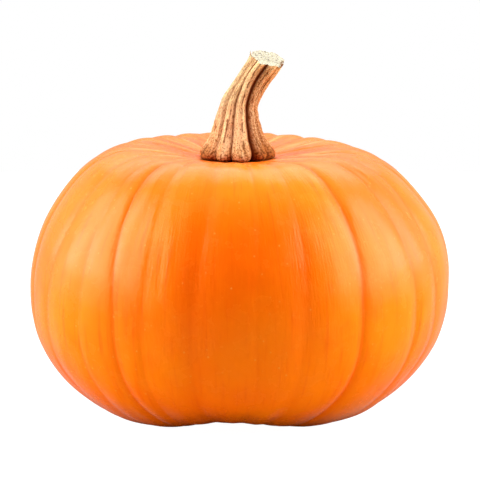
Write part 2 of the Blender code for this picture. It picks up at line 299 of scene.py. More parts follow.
def furrow_lines(latitude):
    """Azimuth and strength of every furrow at each latitude: they drift and are not even."""
    up = smooth_step(latitude, (0.0, FURROW_DRIFT_LATITUDE))
    down = smooth_step(-latitude, (0.0, FURROW_DRIFT_LATITUDE))
    chance = random.Random(FURROW_SEED)
    azimuths = []
    strengths = []
    for crown, middle, base, depth, width, crease in FURROWS:
        phase = chance.uniform(0.0, 2.0 * math.pi)
        pace = chance.uniform(*FURROW_WANDER_PACES)
        wander = FURROW_WANDER * np.sin(pace * latitude + phase) * np.cos(latitude)
        azimuths.append(middle + (crown - middle) * up + (base - middle) * down + wander)
        pace = chance.uniform(*FURROW_UNEVENNESS_PACES)
        strengths.append(1.0 + FURROW_UNEVENNESS * np.sin(pace * latitude + 2.0 * phase))
    return np.array(azimuths), np.array(strengths)


def furrow_relief(azimuth, lines, radius, height):
    """How far the furrows sink the skin, and how close each point is to a furrow, for painted shade.
    """
    azimuths, strengths = lines
    crown_share = smooth_step(height, CROWN_FURROW_HEIGHTS)
    width_share = np.sqrt(np.maximum(FURROW_LEAST_WIDTH_SHARE, radius / FRUIT_RADIUS))
    sunk = np.zeros(len(azimuth))
    closeness = np.zeros(len(azimuth))
    for furrow, furrow_azimuth, strength in zip(FURROWS, azimuths, strengths):
        depth, width, crease = furrow[3:]
        turn = np.radians(turn_between(azimuth, furrow_azimuth))
        distance = turn * np.maximum(radius, FURROW_LEAST_RADIUS)
        depth = depth + crown_share * max(0.0, CROWN_FURROW_DEPTH - depth)
        shape = furrow_shape(distance, width * width_share, crease)
        sunk += depth * strength * shape
        shade_width = FURROW_SHADE_WIDTH_SHARE * width * width_share
        near = furrow_shape(distance, shade_width, crease)
        closeness = np.maximum(closeness, near * np.minimum(1.0, depth / FURROW_FULL_SHADE_DEPTH))
    crown_reach = smooth_step(radius, FURROW_CROWN_RADII)
    base_reach = smooth_step(radius, FURROW_BASE_RADII)
    reach = np.where(height > 0.0, crown_reach, base_reach)
    return sunk * reach, closeness * reach


def crown_shape(angle, x, y, radius, height):
    """Lift of the crown where the fruit is not quite round: its leans, shoulder and swelling."""
    lean = CROWN_FRONT_LEAN * y - CROWN_SIDE_LEAN * x
    lean = lean * smooth_step(height, CROWN_LEAN_HEIGHTS) * smooth_step(radius, CROWN_LEAN_RADII)
    shoulder = CROWN_SHOULDER * smooth_step(radius, CROWN_SHOULDER_START)
    shoulder = shoulder * (1.0 - smooth_step(radius, CROWN_SHOULDER_END))
    swell = CROWN_SWELL * np.cos(angle - math.radians(CROWN_SWELL_AZIMUTH))
    swell = swell * smooth_step(radius, CROWN_SWELL_START)
    swell = swell * (1.0 - smooth_step(radius, CROWN_SWELL_END))
    return lean + shoulder + swell


def base_shape(azimuth, radius):
    """Lift of the base, which is low in three places round the core."""
    wave = FOOT_WAVE * np.cos(FOOT_WAVE_COUNT * np.radians(azimuth - FOOT_HIGH_AZIMUTH))
    front = FRONT_LIFT * bell_around(azimuth, FRONT_LIFT_AZIMUTH, FRONT_LIFT_REACH)
    ring = smooth_step(radius, FOOT_WAVE_START) * (1.0 - smooth_step(radius, FOOT_WAVE_END))
    return (wave + front) * ring


def growth_relief(azimuth, latitude, radius, height):
    """Lumps, ripples, marks and crown wrinkles that stand out of the skin or sink into it."""
    angle = np.radians(azimuth)
    around = np.column_stack((np.sin(angle), -np.cos(angle)))
    ball_points = np.column_stack((around * radius[:, None], height))
    out = np.zeros(len(azimuth))
    for size, amount in LUMPS:
        out += amount * unevenness(ball_points, size, start=3.0 + size * 100.0)
    ripples = np.column_stack((around * FRUIT_RADIUS, latitude * FRUIT_RADIUS / RIPPLE_STRETCH))
    out += RIPPLE_HEIGHT * unevenness(ripples, RIPPLE_WIDTH, start=11.0)
    out *= np.where(height > 0.0, 1.0, smooth_step(radius, DETAIL_BASE_RADII))
    out *= smooth_step(radius, CROWN_WRINKLE_RADII[1])
    for mark_azimuth, mark_height, width, length, depth in GROWTH_MARKS:
        across = np.radians(turn_between(azimuth, mark_azimuth)) * radius
        along = height - (mark_height - MIDDLE_HEIGHT)
        out -= depth * bell(across, width) * bell(along, length)
    inner, outer = CROWN_WRINKLE_RADII
    ring = smooth_step(radius, inner) * (1.0 - smooth_step(radius, outer))
    spokes = np.column_stack((around, radius / CROWN_WRINKLE_LENGTH))
    wrinkles = CROWN_WRINKLE_HEIGHT * unevenness(spokes, CROWN_WRINKLE_COARSENESS, start=5.0)
    return out + np.where(height > 0.0, wrinkles * ring, 0.0)


def patch_share(soft_patches, azimuth, height):
    """How strongly any of the patches of colour shows at each point."""
    share = np.zeros(len(azimuth))
    for middle, patch_height, half_width, half_height, strength in soft_patches:
        across = bell_around(azimuth, middle, half_width)
        share += strength * across * bell(height + MIDDLE_HEIGHT - patch_height, half_height)
    return np.minimum(share, 1.0)


def scar_relief(radius, height):
    """The small corky ring that the flower left in the middle of the base."""
    rim = SCAR_RIM * bell(radius - SCAR_RADIUS, SCAR_RIM_WIDTH)
    return np.where(height < 0.0, rim, 0.0)


def fruit_place(column, row):
    latitude = np.radians(np.interp(row / FRUIT_ROWS, ROW_SHARES, ROW_LATITUDES))
    radius, height = fruit_outline(latitude)
    radial, upward = outward(latitude)
    lines = furrow_lines(latitude)
    azimuth, across = spaced_azimuth(column, lines[0], COLUMNS_PER_RIB)
    sunk, closeness = furrow_relief(azimuth, lines, radius, height)
    out = RIB_BULGE * np.sin(np.pi * across) * smooth_step(radius, RIB_BULGE_RADII) - sunk
    out += growth_relief(azimuth, latitude, radius, height) + scar_relief(radius, height)
    smooth_radius = radius
    smooth_height = height
    radius = radius + out * radial
    height = height + out * upward
    angle = np.radians(azimuth)
    rim_share = radius / FRUIT_RADIUS
    x = radius * np.sin(angle) + SIDE_SHIFT * rim_share**SIDE_SHIFT_FADE
    y = -radius * np.cos(angle) * FRUIT_DEPTH_SHARE
    crown = crown_shape(angle, x, y, radius, height)
    height = height + np.where(smooth_height > 0.0, crown, base_shape(azimuth, radius))
    height += SIDE_ROLL * x * rim_share**SIDE_ROLL_FADE
    height = np.maximum(height, height.min() + REST_CUT)
    rib_place = np.column_stack((np.sin(angle), -np.cos(angle), latitude))
    shares = {
        "rib_place": rib_place,
        # Nearness to a furrow, where the skin turns deeper orange: its own colour and painted shade.
        "furrow": closeness,
        "amber": patch_share(AMBER_PATCHES, azimuth, smooth_height),
        "deep": patch_share(DEEP_PATCHES, azimuth, smooth_height),
        "scar": np.where(smooth_height < 0.0, bell(smooth_radius, SCAR_RADIUS * SCAR_TINT_SHARE), 0.0),
    }
    return np.column_stack((x, y, height)), shares


fruit = closed_skin("pumpkin_fruit", len(FURROWS) * COLUMNS_PER_RIB, FRUIT_ROWS, fruit_place)
fruit_low, fruit_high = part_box("fruit")
grown = np.array([vertex.co for vertex in fruit.data.vertices])
grown_middle = (grown.min(0) + grown.max(0)) / 2.0
to_floor = Vector((-grown_middle[0], -grown_middle[1], fruit_low.z - grown[:, 2].min()))
fruit.data.transform(Matrix.Translation(to_floor))

# The skin's finish: deep orange under a thin wax, with amber and deep patches, faint streaks
# that run with the ribs, peach and dark streaks on the crown, furrows darker with painted shade
# and their own deeper orange, tiny pale pores and a very fine pitting. Each ramp: two levels of a
# pattern and the tint there.

SKIN_ORANGE = (0.90, 0.133, 0.0010)
SKIN_AMBER = (0.92, 0.176, 0.0020)
SKIN_YELLOW = (0.93, 0.203, 0.0010)
SKIN_DEEP = (0.80, 0.086, 0.0005)
SKIN_PEACH = (0.95, 0.330, 0.1000)
SKIN_PORE = (0.92, 0.400, 0.1000)
SCAR_BROWN = (0.30, 0.170, 0.0800)
STAIN_AND_SHADOW_BROWN = (0.22, 0.060, 0.0100)
SKIN_WAX = (1.0, 0.86, 0.34)
SKIN_IOR = 1.43
SKIN_ROUGHNESS = (0.21, 0.31)
SKIN_GLOSS_SIZE = 0.011
SKIN_GLOSS_LEVELS = (0.30, 0.75)
SKIN_PATCH_SIZE = 0.050
SKIN_PATCH_RAMP = (0.40, 0.68, 0.0, 0.7)
SKIN_SMUDGE_SIZE = 0.012
SKIN_SMUDGE_RAMP = (0.25, 0.65, 0.5, 1.0)
SKIN_STREAKS = (46.0, 46.0, 3.0)
SKIN_STREAK_RAMP = (0.50, 0.80, 0.0, 0.55)
SKIN_FINE_STREAKS = (190.0, 190.0, 9.0)
SKIN_FINE_STREAK_RAMP = (0.52, 0.80, 0.0, 0.35)
SKIN_CROWN_LATITUDES = (0.95, 1.20)
SKIN_SPOKES = (14.0, 14.0, 2.0)
PEACH_SPOKE_RAMP = (0.52, 0.66, 0.0, 0.7)
PEACH_BESIDE_AMBER_RAMP = (0.0, 0.5, 1.0, 0.0)
DARK_SPOKE_RAMP = (0.48, 0.36, 0.0, 0.8)
FURROW_SHADE_TINT = 0.75
PORE_SPACING = 0.0042
PORE_RADIUS = 0.075
PORE_EDGE = 2.2
PORE_TINT = 0.75
PORE_CHOICE_RAMP = (0.60, 0.90, 0.0, 0.6)
STAIN_AND_SHADOW_GRAIN_SCALE = 420.0
STAIN_AND_SHADOW_GRAIN_RAMP = (0.25, 0.65, 0.6, 1.0)
STAIN_ROUGHNESS = 0.4
SKIN_WRINKLES = (95.0, 95.0, 12.0)
WRINKLE_DEPTH = 0.00016
PIT_SIZE = 0.0011
PIT_DEPTH = 0.00005


def node(tree, kind, inputs, **settings):
    """A new shader node; each of its inputs is a plain value or another node's output."""
    made = tree.nodes.new("ShaderNode" + kind)
    for setting, value in settings.items():
        setattr(made, setting, value)
    for socket, value in inputs.items():
        if isinstance(value, bpy.types.NodeSocket):
            tree.links.new(value, made.inputs[socket])
        else:
            made.inputs[socket].default_value = value
    return made


def patches(tree, where, scale, detail=2.0):
    """Soft random patches from 0 to 1."""
    inputs = {"Vector": where, "Scale": scale, "Detail": detail}
    return node(tree, "TexNoise", inputs).outputs["Fac"]


def stretched(tree, where, scales):
    inputs = {0: where, 1: scales}
    return node(tree, "VectorMath", inputs, operation="MULTIPLY").outputs[0]


def ramped(tree, value, low, high, first=0.0, last=1.0):
    """first where value is under low, last where it is over high, and smooth between."""
    inputs = {"Value": value, "From Min": low, "From Max": high, "To Min": first, "To Max": last}
    made = node(tree, "MapRange", inputs, interpolation_type="SMOOTHSTEP")
    return made.outputs["Result"]


def product(tree, first, second):
    return node(tree, "Math", {0: first, 1: second}, operation="MULTIPLY").outputs[0]


def tinted(tree, share, first, second):
    """The first colour, turning into the second where the share is 1."""
    # Inputs 0, 6 and 7 of a colour mix are its share and its two colours; 2 is its result.
    made = tree.nodes.new("ShaderNodeMix")
    made.data_type = "RGBA"
    for socket, value in ((0, share), (6, first), (7, second)):
        if isinstance(value, bpy.types.NodeSocket):
            tree.links.new(value, made.inputs[socket])
        elif socket:
            made.inputs[socket].default_value = (*value, 1.0)
        else:
            made.inputs[socket].default_value = value
    return made.outputs[2]


def raised(tree, height, distance, below=None):
    inputs = {"Height": height, "Distance": distance, "Strength": 1.0}
    if below is not None:
        inputs["Normal"] = below
    return node(tree, "Bump", inputs).outputs["Normal"]


def kept(tree, name, output):
    return node(tree, "Attribute", {}, attribute_name=name).outputs[output]


def new_finish(name):
    material = bpy.data.materials.new(name)
    material.use_nodes = True
    return material, material.node_tree, material.node_tree.nodes["Principled BSDF"]


def skin_finish():
    material, tree, shader = new_finish("waxy orange skin")
    where = node(tree, "TexCoord", {}).outputs["Object"]
    ribs = kept(tree, "rib_place", "Vector")
    furrow = kept(tree, "furrow", "Fac")
    broad = patches(tree, where, 1.0 / SKIN_PATCH_SIZE, detail=3.0)
    color = tinted(tree, ramped(tree, broad, *SKIN_PATCH_RAMP), SKIN_ORANGE, SKIN_AMBER)
    smudged = patches(tree, where, 1.0 / SKIN_SMUDGE_SIZE, detail=4.0)
    smudged = ramped(tree, smudged, *SKIN_SMUDGE_RAMP)
    amber = kept(tree, "amber", "Fac")
    color = tinted(tree, product(tree, amber, smudged), color, SKIN_YELLOW)
    deep = product(tree, kept(tree, "deep", "Fac"), smudged)
    color = tinted(tree, deep, color, SKIN_DEEP)
    streaks = patches(tree, stretched(tree, ribs, SKIN_STREAKS), 1.0)
    color = tinted(tree, ramped(tree, streaks, *SKIN_STREAK_RAMP), color, SKIN_DEEP)
    fine = patches(tree, stretched(tree, ribs, SKIN_FINE_STREAKS), 1.0, detail=4.0)
    color = tinted(tree, ramped(tree, fine, *SKIN_FINE_STREAK_RAMP), color, SKIN_AMBER)
    latitude = node(tree, "SeparateXYZ", {"Vector": ribs}).outputs["Z"]
    crown = ramped(tree, latitude, *SKIN_CROWN_LATITUDES)
    spokes = patches(tree, stretched(tree, ribs, SKIN_SPOKES), 1.0, detail=3.0)
    peach = product(tree, crown, ramped(tree, spokes, *PEACH_SPOKE_RAMP))
    peach = product(tree, peach, ramped(tree, amber, *PEACH_BESIDE_AMBER_RAMP))
    color = tinted(tree, peach, color, SKIN_PEACH)
    lines = product(tree, crown, ramped(tree, spokes, *DARK_SPOKE_RAMP))
    color = tinted(tree, lines, color, SKIN_DEEP)
    # The furrows turn deeper orange, partly the skin's own colour and partly painted shade.
    color = tinted(tree, product(tree, furrow, FURROW_SHADE_TINT), color, SKIN_DEEP)
    pores = node(tree, "TexVoronoi", {"Vector": where, "Scale": 1.0 / PORE_SPACING})
    pore_ramp = (PORE_RADIUS, PORE_RADIUS * PORE_EDGE, PORE_TINT, 0.0)
    dots = ramped(tree, pores.outputs["Distance"], *pore_ramp)
    chosen = node(tree, "SeparateColor", {"Color": pores.outputs["Color"]}).outputs["Red"]
    dots = product(tree, dots, ramped(tree, chosen, *PORE_CHOICE_RAMP))
    color = tinted(tree, dots, color, SKIN_PORE)
    color = tinted(tree, kept(tree, "scar", "Fac"), color, SCAR_BROWN)
    # Brown round the stem's toes: dried skin, and the toes' contact shadow painted onto it.
    stain_and_shadow_grain = ramped(tree, patches(tree, where, STAIN_AND_SHADOW_GRAIN_SCALE), *STAIN_AND_SHADOW_GRAIN_RAMP)
    stain_and_contact_shadow = product(tree, kept(tree, "stain_and_contact_shadow", "Fac"), stain_and_shadow_grain)
    color = tinted(tree, stain_and_contact_shadow, color, STAIN_AND_SHADOW_BROWN)
    tree.links.new(color, shader.inputs["Base Color"])
    gloss = patches(tree, where, 1.0 / SKIN_GLOSS_SIZE, detail=4.0)
    gloss = ramped(tree, gloss, *SKIN_GLOSS_LEVELS, *SKIN_ROUGHNESS)
    dull = product(tree, stain_and_contact_shadow, STAIN_ROUGHNESS)
    rough = node(tree, "Math", {0: gloss, 1: dull}, operation="ADD")
    tree.links.new(rough.outputs[0], shader.inputs["Roughness"])
    wrinkles = patches(tree, stretched(tree, ribs, SKIN_WRINKLES), 1.0, detail=5.0)
    normal = raised(tree, wrinkles, WRINKLE_DEPTH)
    normal = raised(tree, patches(tree, where, 1.0 / PIT_SIZE, 3.0), PIT_DEPTH, normal)
    tree.links.new(normal, shader.inputs["Normal"])
    shader.inputs["IOR"].default_value = SKIN_IOR
    shader.inputs["Specular Tint"].default_value = (*SKIN_WAX, 1.0)
    return material


fruit.data.materials.append(skin_finish())
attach(fruit, "root")
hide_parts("fruit")

# The stem is the dried stalk that the fruit hung on: pale corky tissue with hard ridges that
# spread into toes on the crown, a neck that bends over, and the white end where it was cut.
# It is one closed piece, and its foot follows the smooth seat in the crown hollow.

SEAT_GAP = 0.0003
SEAT_FOLLOW_HEIGHT = 0.004
STEM_OFFSET = 0.0006
STEM_LENGTH = 0.0555
STEM_NECK_RADIUS = 0.0082
STEM_SWELL = 0.0080
STEM_SWELL_HEIGHT = 0.0305
STEM_FOOT_FLARE = 0.0056
STEM_FOOT_HEIGHT = 0.009
STEM_TOE_ROUNDING = 0.09
STEM_TOE_HEIGHT = 0.0014
STEM_CUT_FLARE = 0.0020
STEM_CUT_HEIGHT = 0.010
STEM_CUT_TILT = 12.0
STEM_CUT_FORWARD = 18.0
STEM_CUT_TILT_HEIGHT = 0.040
STEM_BEND_HEIGHT = 0.0295
STEM_BEND_SOFTNESS = 0.0035
STEM_LEAN = 0.66
STEM_TWIST_HEIGHTS = (0.022, 0.054)
STEM_UNDER_SHARES = (0.0, 0.30, 0.55, 0.75, 0.90)
STEM_SIDE_ROWS = 170
STEM_CUT_SHARES = (0.985, 0.95, 0.90, 0.82, 0.74, 0.65, 0.55, 0.45, 0.35, 0.25, 0.15, 0.07, 0.0)
COLUMNS_PER_RIDGE = 30

# The valleys between the ridges: azimuth in degrees at the foot and at the cut, depth and half
# width.
STEM_VALLEYS = (
    (-167.0, -182.0, 0.0019, 0.0026),
    (-124.0, -146.0, 0.0013, 0.0030),
    (-86.0, -110.0, 0.0017, 0.0026),
    (-42.0, -68.0, 0.0018, 0.0030),
    (-11.0, -47.0, 0.0022, 0.0026),
    (32.0, -2.0, 0.0036, 0.0030),
    (60.0, 36.0, 0.0012, 0.0022),
    (103.0, 86.0, 0.0020, 0.0028),
    (150.0, 132.0, 0.0014, 0.0028),
)

# How the valleys lie in the stem, and how wide and strong the brown and painted shade along their
# bottoms are.
STEM_VALLEY_ROUNDING = 0.0006
STEM_LOBE_GAIN = 0.9
STEM_LOBE_HEIGHT = 0.008
STEM_LEAST_VALLEY_SHARE = 0.65
DEEPEST_VALLEY = 0.0036
VALLEY_BROWN_AND_SHADE_LEAST = 0.04
VALLEY_BROWN_AND_SHADE_SHARE = 0.32
VALLEY_BROWN_AND_SHADE_GAIN = 92.0

# The toes that the ridges end in: azimuth in degrees at the foot, and how far each spreads.
STEM_TOES = (
    (-66.0, 0.0024),
    (-26.0, 0.0006),
    (10.0, 0.0016),
    (46.0, 0.0012),
    (80.0, 0.0016),
    (127.0, 0.0008),
    (172.0, 0.0016),
    (-145.0, 0.0006),
    (-105.0, 0.0014),
)
TOE_SPREAD_HEIGHT = 0.0045
TOE_SPREAD_REACH = 0.0050
TOE_ARCH = 0.0016
TOE_ARCH_HEIGHT = 0.0032

# The fibres, the cork's grain and lumps, the rough cut with its torn rim, and its thin thorn.
FIBRE_WIDTH = 0.0013
FIBRE_STRETCH = 9.0
FIBRE_SPREAD = 1.5
FIBRE_HEIGHT = 0.00030
GRAIN_SIZE = 0.0011
GRAIN_HEIGHT = 0.00014
FINE_GRAIN_SIZE_SHARE = 0.45
FINE_GRAIN_HEIGHT_SHARE = 0.6
STEM_LUMP_SIZE = 0.006
STEM_LUMP_HEIGHT = 0.0005
CUT_DISH = 0.0011
CUT_ROUGHNESS = 0.00035
RIM_TEAR = 0.0008
RIM_TEAR_RADIUS = 0.004
RIM_TEAR_WIDTH = 0.0011
RIM_TEAR_HEIGHT = 0.0030
RIM_TEAR_FADE = 6
THORN_AZIMUTH = -88.0
THORN_REACH = 2.2
THORN_HEIGHT = 0.0030
THORN_START = 0.0546
THORN_FADE = 40

# Where the stem is lightened in front with painted light, darkened on the left with painted shade,
# red-brown on the right with weathering and painted shade, bleached, stained and frayed, with a
# painted contact shadow at the foot: azimuths and reaches in degrees, heights over the foot.
PAINTED_LIGHT_AZIMUTH = -6.0
PAINTED_LIGHT_REACH = 32.0
PAINTED_LIGHT_HEIGHTS = (0.003, 0.016)
SHADED_AZIMUTH = -76.0
SHADED_REACH = 26.0
SHADED_HEIGHTS = (0.022, 0.044)
WEATHERED_AND_SHADED_AZIMUTH = 76.0
WEATHERED_AND_SHADED_REACH = 50.0
WEATHERED_AND_SHADED_HEIGHT = 0.060
BLEACHED_AZIMUTH = -78.0
BLEACHED_REACH = 48.0
BLEACHED_HEIGHTS = (0.006, 0.034)
TOE_STAIN_HEIGHT = 0.010
STAINED_TOES = (-70.0, 52.0, 150.0)
STAINED_TOES_LEAST = 0.62
TOE_CONTACT_SHADOW_HEIGHT = 0.0016
TOE_REACH = 26.0
FRAYED_AZIMUTH = 72.0
FRAYED_REACH = 34.0
FRAYED_HEIGHTS = (0.0525, 0.0560)
FRAYED_FADE = 3

# The cracks along the ridges, counted from the first valley of the list.
SLIT_RIDGES = (2, 3, 4, 5)
SLIT_WIDTH = 0.050
SLIT_WANDER = 0.10
SLIT_WANDER_LENGTH = 0.020
SLIT_RIDGE_STEP = 3.0
SLIT_OPEN_LEVELS = (-0.05, 0.15)
SLIT_LENGTH = 0.0035

# How far the dried brown and the painted contact shadow of the toes reach into the skin, and how
# far out the skin is looked at.
SKIN_STAIN_AND_SHADOW_REACH = 0.0024
SKIN_STAIN_AND_SHADOW_RADIUS = 0.032


def stem_radius(height):
    swell = STEM_SWELL * bell(height, STEM_SWELL_HEIGHT)
    flare = STEM_FOOT_FLARE * bell(height, STEM_FOOT_HEIGHT)
    cut = STEM_CUT_FLARE * bell(STEM_LENGTH - height, STEM_CUT_HEIGHT)
    toe = 1.0 - STEM_TOE_ROUNDING * np.exp(-height / STEM_TOE_HEIGHT)
    return (STEM_NECK_RADIUS + swell + flare + cut) * toe


def stem_middle(height):
    """Sideways place of the middle of the stem, and its slope there."""
    reach = (height - STEM_BEND_HEIGHT) / STEM_BEND_SOFTNESS
    place = STEM_OFFSET + STEM_LEAN * STEM_BEND_SOFTNESS * np.log1p(np.exp(reach))
    return place, STEM_LEAN / (1.0 + np.exp(-reach))


def valley_lines(height):
    """Azimuth of every valley at each height: the stem turned as it grew, but not evenly."""
    turned = smooth_step(height, STEM_TWIST_HEIGHTS)
    return np.array([foot + (cut - foot) * turned for foot, cut, depth, width in STEM_VALLEYS])


def stem_valleys(azimuth, lines, height):
    """How far the valleys sink the stem, and how close each point is to a valley."""
    radius = stem_radius(height)
    share = radius / stem_radius(0.0)
    valley_share = STEM_LEAST_VALLEY_SHARE + (1.0 - STEM_LEAST_VALLEY_SHARE) * share
    lobed = 1.0 + STEM_LOBE_GAIN * np.exp(-height / STEM_LOBE_HEIGHT)
    sunk = np.zeros(len(azimuth))
    closeness = np.zeros(len(azimuth))
    for line, (foot, cut, depth, width) in zip(lines, STEM_VALLEYS):
        distance = np.radians(turn_between(azimuth, line)) * radius
        half_width = width * valley_share
        sunk += depth * furrow_shape(distance, half_width, STEM_VALLEY_ROUNDING)
        # Deeper valleys take more of the brown and the painted shade.
        brown = min(1.0, VALLEY_BROWN_AND_SHADE_LEAST + depth / DEEPEST_VALLEY)
        brown_share = VALLEY_BROWN_AND_SHADE_SHARE + VALLEY_BROWN_AND_SHADE_GAIN * depth
        near = furrow_shape(distance, brown_share * half_width, STEM_VALLEY_ROUNDING)
        closeness = np.maximum(closeness, near * brown)
    return sunk * lobed * valley_share, closeness


def toe_spread(azimuth, height):
    """How much further out than the even foot each toe reaches."""
    spread = np.zeros(len(azimuth))
    for middle, reach in STEM_TOES:
        distance = np.radians(turn_between(azimuth, middle)) * stem_radius(0.0)
        spread += reach * bell(distance, TOE_SPREAD_REACH)
    return spread * np.exp(-height / TOE_SPREAD_HEIGHT)


def seat_height(radius):
    """Height of the smooth seat in the crown hollow at a distance from the core."""
    return fruit_outline(np.arccos(np.minimum(1.0, radius / FRUIT_RADIUS)))[1]


def stem_place(column, row):
    rows = [(0.0, share) for share in STEM_UNDER_SHARES]
    rows += [(height, 1.0) for height in np.linspace(0.0, STEM_LENGTH, STEM_SIDE_ROWS)]
    rows += [(STEM_LENGTH, share) for share in STEM_CUT_SHARES]
    height, share = np.array(rows)[row.astype(int)].T
    first_cut_row = len(STEM_UNDER_SHARES) + STEM_SIDE_ROWS
    on_cut = row >= first_cut_row
    lines = valley_lines(height)
    azimuth, across_ridge = spaced_azimuth(column, lines, COLUMNS_PER_RIDGE)
    straight_azimuth = spaced_azimuth(column, valley_lines(0.0 * height), COLUMNS_PER_RIDGE)[0]
    angle = np.radians(azimuth)
    around = np.column_stack((np.sin(angle), -np.cos(angle)))
    along_fibres = np.radians(straight_azimuth)
    along_fibres = np.column_stack((np.sin(along_fibres), -np.cos(along_fibres)))
    sunk, closeness = stem_valleys(azimuth, lines, height)
    fibres = np.column_stack((along_fibres * STEM_NECK_RADIUS * FIBRE_SPREAD, height / FIBRE_STRETCH))
    fibre = unevenness(fibres, FIBRE_WIDTH, start=2.0)
    radius = stem_radius(height)
    grain_points = np.column_stack((around * radius[:, None] * share[:, None], height))
    grain = unevenness(grain_points, GRAIN_SIZE, start=7.0)
    fine_grain = unevenness(grain_points, GRAIN_SIZE * FINE_GRAIN_SIZE_SHARE, start=9.0)
    grain += FINE_GRAIN_HEIGHT_SHARE * fine_grain
    lumps = unevenness(grain_points, STEM_LUMP_SIZE, start=4.0)
    radius = radius - sunk + toe_spread(straight_azimuth, height)
    radius = radius + FIBRE_HEIGHT * fibre + GRAIN_HEIGHT * grain + STEM_LUMP_HEIGHT * lumps
    radius = radius * share
    across = radius * np.sin(angle)
    y = -radius * np.cos(angle)
    middle, slope = stem_middle(height)
    at_cut = smooth_step(height, (STEM_CUT_TILT_HEIGHT, STEM_LENGTH))
    tilt = np.arctan(slope) * (1.0 - at_cut) + math.radians(STEM_CUT_TILT) * at_cut
    forward = math.radians(STEM_CUT_FORWARD) * at_cut
    seat = seat_height(np.hypot(across, y)) + SEAT_GAP
    rim = seat_height(STEM_NECK_RADIUS + STEM_SWELL + STEM_FOOT_FLARE) + SEAT_GAP
    z = height + rim + (seat - rim) * np.exp(-height / SEAT_FOLLOW_HEIGHT)
    z += y * np.sin(forward) - across * np.sin(tilt)
    z += TOE_ARCH * closeness * np.exp(-height / TOE_ARCH_HEIGHT) * (share == 1.0)
    rim_points = np.column_stack((around * RIM_TEAR_RADIUS, 0.0 * height))
    tear = unevenness(rim_points, RIM_TEAR_WIDTH, start=6.0)
    near_rim = smooth_step(height, (STEM_LENGTH - RIM_TEAR_HEIGHT, STEM_LENGTH))
    z += RIM_TEAR * tear * near_rim * share**RIM_TEAR_FADE
    thorn = bell_around(azimuth, THORN_AZIMUTH, THORN_REACH) * share**THORN_FADE
    z += THORN_HEIGHT * thorn * smooth_step(height, (THORN_START, STEM_LENGTH))
    dish = -CUT_DISH * (1.0 - share**2) + CUT_ROUGHNESS * grain
    z += np.where(on_cut, dish, 0.0)
    shares = {
        "stem_around": np.column_stack((along_fibres, height)),
        "valley": closeness,
        "cut": np.where(on_cut, 1.0, 0.0),
        "frayed": bell_around(azimuth, FRAYED_AZIMUTH, FRAYED_REACH)
        * smooth_step(height, FRAYED_HEIGHTS)
        * share**FRAYED_FADE,
        "slit": ridge_slits(column, across_ridge, height) * np.where(on_cut, 0.0, 1.0),
    }
    shares.update(stem_wear_light_and_shade(straight_azimuth, height))
    return np.column_stack((middle + across * np.cos(tilt), y, z)), shares


def stem_wear_light_and_shade(azimuth, height):
    """Stains, bleaching, weathering, and painted light and shade on the stem at each point."""
    stained = STAINED_TOES_LEAST + 0.0 * height
    for toe in STAINED_TOES:
        stained += (1.0 - STAINED_TOES_LEAST) * bell_around(azimuth, toe, TOE_REACH)
    stained = stained * np.exp(-height / TOE_STAIN_HEIGHT)
    weathered_and_shaded = bell_around(azimuth, WEATHERED_AND_SHADED_AZIMUTH, WEATHERED_AND_SHADED_REACH)
    bleached = bell_around(azimuth, BLEACHED_AZIMUTH, BLEACHED_REACH)
    painted_light_front = bell_around(azimuth, PAINTED_LIGHT_AZIMUTH, PAINTED_LIGHT_REACH)
    shaded = bell_around(azimuth, SHADED_AZIMUTH, SHADED_REACH)
    return {
        # Stained toes, and a painted contact shadow low on the foot where it meets the skin.
        "toe": np.maximum(stained, bell(height, TOE_CONTACT_SHADOW_HEIGHT)),
        "weathered_and_shaded": weathered_and_shaded * np.exp(-height / WEATHERED_AND_SHADED_HEIGHT),
        "bleached": bleached * smooth_step(height, BLEACHED_HEIGHTS),
        "painted_light_front": painted_light_front * smooth_step(height, PAINTED_LIGHT_HEIGHTS),
        "shaded": shaded * (1.0 - smooth_step(height, SHADED_HEIGHTS)),
    }


def ridge_slits(column, across_ridge, height):
    """The fine dark cracks that run, broken, along the middle of the front ridges."""
    ridge = column // COLUMNS_PER_RIDGE
    ridge_step = ridge * SLIT_RIDGE_STEP
    places = np.column_stack((ridge_step, height / SLIT_WANDER_LENGTH, 0.0 * height))
    middle = 0.5 + SLIT_WANDER * unevenness(places, 1.0, start=1.5)
    broken = np.column_stack((ridge_step, height / SLIT_LENGTH, 0.0 * height))
    open_here = smooth_step(unevenness(broken, 1.0, start=4.5), SLIT_OPEN_LEVELS)
    return bell(across_ridge - middle, SLIT_WIDTH) * open_here * np.isin(ridge, SLIT_RIDGES)


def stain_and_shade_skin_beside_foot(skin, foot):
    """Marks the skin where the toes sit on it: dried brown, and the toes' painted contact shadow."""
    points = KDTree(len(foot.data.vertices))
    for vertex in foot.data.vertices:
        points.insert(vertex.co, vertex.index)
    points.balance()
    stain_and_contact_shadow = np.zeros(len(skin.data.vertices))
    for vertex in skin.data.vertices:
        if vertex.co.z > fruit_high.z / 2.0 and vertex.co.xy.length < SKIN_STAIN_AND_SHADOW_RADIUS:
            distance = points.find(vertex.co)[2]
            stain_and_contact_shadow[vertex.index] = bell(distance, SKIN_STAIN_AND_SHADOW_REACH)
    keep_on_mesh(skin.data, "stain_and_contact_shadow", stain_and_contact_shadow)


stem_rows = len(STEM_UNDER_SHARES) + STEM_SIDE_ROWS + len(STEM_CUT_SHARES) - 1
stem = closed_skin("pumpkin_stem", len(STEM_VALLEYS) * COLUMNS_PER_RIDGE, stem_rows, stem_place)
stem.data.transform(Matrix.Translation(to_floor))
stain_and_shade_skin_beside_foot(fruit, stem)

# The stem's finish: tan and pale fibres, bleached in places, lightened in front with painted
# light, darkened on the left with painted shade and on the right with weathering and painted
# shade, stained at the toes above a painted contact shadow, with dark grain and cracks, valleys in
# brown and painted shade, and a speckled cream cut.

